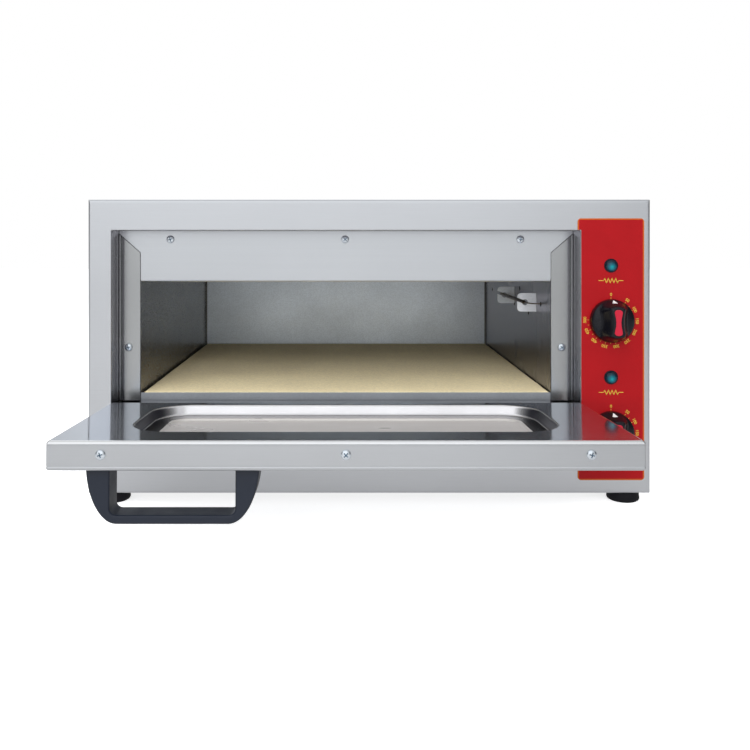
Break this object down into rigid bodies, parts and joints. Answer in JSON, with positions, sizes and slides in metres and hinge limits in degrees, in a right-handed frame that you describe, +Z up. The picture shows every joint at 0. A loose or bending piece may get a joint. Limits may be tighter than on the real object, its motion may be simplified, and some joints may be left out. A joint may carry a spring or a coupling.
{
  "type": "countertop electric pizza oven",
  "caption": "Countertop electric pizza oven with a drop-down front door, stone deck, side control panel and rubber feet.",
  "frame": {"origin": "middle of the footprint with the door open, on the plane that the feet stand on", "axes": "+X to the user's right, +Y from the door to the back, +Z up"},
  "size_m": [0.555, 0.6624, 0.3015],
  "materials": {
    "cover_steel": "satin brushed stainless sheet",
    "fascia_steel": "satin brushed stainless sheet, soft bend highlights",
    "trim_steel": "satin stainless trim",
    "door_steel": "satin brushed stainless sheet",
    "door_mirror_steel": "bright polished stainless sheet",
    "galvanised": "galvanised sheet with a fine spangle",
    "chamber_sheet": "aluminised sheet, mottled and slightly heat-stained",
    "zinc_steel": "zinc-plated steel",
    "screw_steel": "bright zinc-plated screws",
    "dark_metal": "oxidised bulb and capillary",
    "element": "dark oxidised heating tube",
    "stone": "fine-grained refractory stone",
    "mineral_wool": "mineral wool batt",
    "label": "printed red film with an orange edge",
    "lens": "translucent teal lens",
    "white_plastic": "moulded heat-proof plastic",
    "ceramic_block": "glazed steatite block",
    "wire": "silicone wire",
    "black_plastic": "moulded nylon",
    "rubber": "black rubber",
    "handle_plastic": "fine-textured blue-black moulding",
    "knob_plastic": "gloss black moulding",
    "knob_insert": "red moulded insert",
    "bush_brass": "plain brass bush"
  },
  "bodies": {
    "oven": {"outer_cover": "cover_steel", "front_fascia": "fascia_steel", "base_panel": "galvanised", "back_panel": "galvanised", "control_bulkhead": "galvanised", "control_label": "label", "top_trim": "trim_steel", "side_trim_left": "trim_steel", "side_trim_right": "trim_steel", "chamber_left_wall": "chamber_sheet", "chamber_right_wall": "chamber_sheet", "chamber_ceiling": "chamber_sheet", "chamber_floor": "chamber_sheet", "chamber_back_wall": "chamber_sheet", "deck_front": "galvanised", "stone_deck": "stone", "deck_rails": "galvanised", "lower_element": "element", "upper_element": "element", "lower_element_supports": "galvanised", "upper_element_supports": "galvanised", "bulb_clips": "galvanised", "upper_sensor_bulb": "dark_metal", "lower_sensor_bulb": "dark_metal", "insulation_top": "mineral_wool", "insulation_left": "mineral_wool", "insulation_right": "mineral_wool", "insulation_back": "mineral_wool", "insulation_bottom": "mineral_wool", "thermostat_upper": "white_plastic", "thermostat_lower": "white_plastic", "lamp_lenses": "lens", "lamp_bodies": "white_plastic", "terminal_block": "ceramic_block", "wiring": "wire", "cable_gland": "black_plastic", "gland_nut": "black_plastic", "hinge_bracket_left": "zinc_steel", "hinge_bracket_right": "zinc_steel", "hinge_pins": "zinc_steel", "stop_pins": "zinc_steel", "feet": "rubber", "foot_screws": "screw_steel", "trim_screws": "screw_steel", "back_screws": "screw_steel"},
    "door": {"door_outer_skin": "door_steel", "door_inner_panel": "door_mirror_steel", "door_insulation": "mineral_wool", "door_handle": "handle_plastic", "handle_screws": "screw_steel", "door_edge_screws": "screw_steel", "hinge_arms": "zinc_steel", "hinge_bushes": "bush_brass"},
    "knob_top": {"knob_upper": "knob_plastic", "knob_insert_upper": "knob_insert", "shaft_upper": "zinc_steel"},
    "knob_bottom": {"knob_lower": "knob_plastic", "knob_insert_lower": "knob_insert", "shaft_lower": "zinc_steel"}
  },
  "joints": [
    {"name": "door_hinge", "type": "hinge", "parent": "oven", "child": "door", "pos_m": [-0.0229, -0.14528, 0.0845], "axis": [-1, 0, 0], "range_deg": [0, 88.3]},
    {"name": "top_knob_turn", "type": "hinge", "parent": "oven", "child": "knob_top", "pos_m": [0.2384, -0.15079, 0.182], "axis": [0, 1, 0], "range_deg": [0, 272]},
    {"name": "bottom_knob_turn", "type": "hinge", "parent": "oven", "child": "knob_bottom", "pos_m": [0.2384, -0.15079, 0.0718], "axis": [0, 1, 0], "range_deg": [0, 272]}
  ]
}
